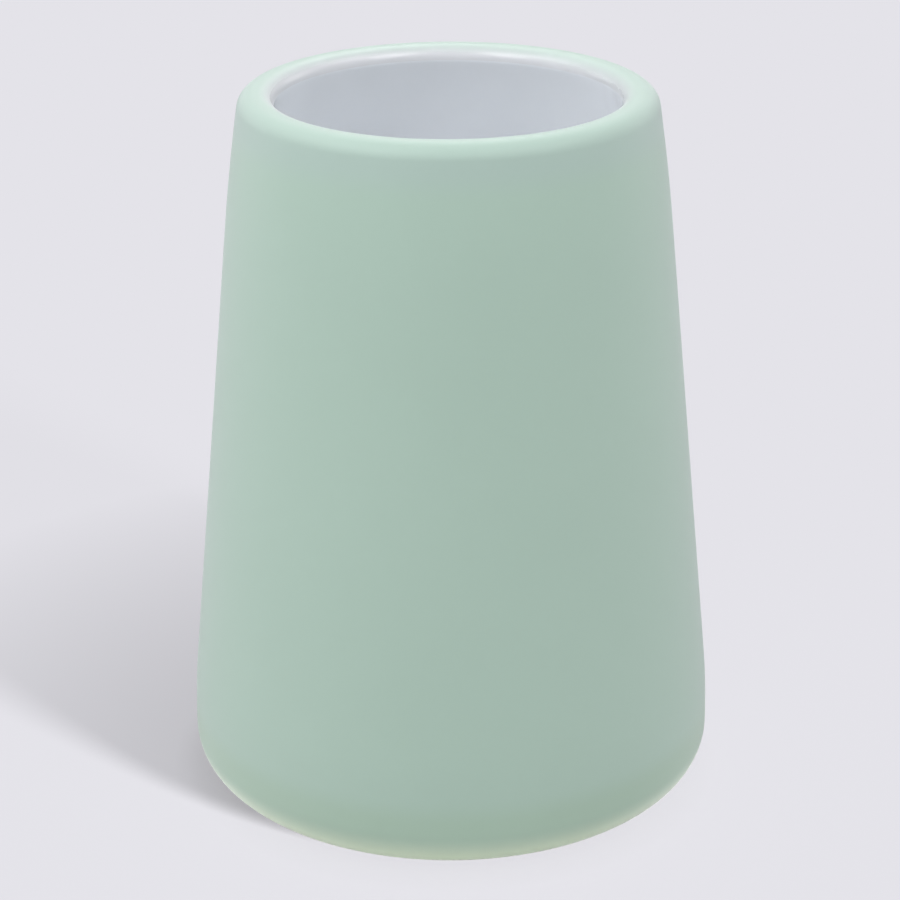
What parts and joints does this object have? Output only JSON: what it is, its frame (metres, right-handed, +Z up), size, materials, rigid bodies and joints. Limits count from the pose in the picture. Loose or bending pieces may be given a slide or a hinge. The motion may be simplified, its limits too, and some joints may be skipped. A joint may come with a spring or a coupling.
{
  "type": "toothbrush tumbler",
  "caption": "Free-standing toothbrush tumbler: a tapered ceramic cup with a thick round rim and rounded base, matte mint outside, white glaze inside, small pads under its foot.",
  "frame": {"origin": "centre of the tumbler's underside, on the surface that its four pads stand on", "axes": "+Z up along the tumbler's axis of turning; X and Y are square to it, with the pads at 45 degrees between them"},
  "size_m": [0.08, 0.08, 0.108],
  "materials": {
    "fired_ceramic": "unglazed, dry, fine-grained",
    "mint_soft_touch": "matte soft-touch lacquer with a faint silky sheen",
    "white_glaze": "glossy",
    "pad_foam": "matte closed-cell foam rubber"
  },
  "bodies": {
    "root": {"ceramic_body": "fired_ceramic", "outer_coating": "mint_soft_touch", "interior_glaze": "white_glaze", "base_glaze": "white_glaze", "anti_slip_pad_1": "pad_foam", "anti_slip_pad_2": "pad_foam", "anti_slip_pad_3": "pad_foam", "anti_slip_pad_4": "pad_foam"}
  },
  "joints": []
}
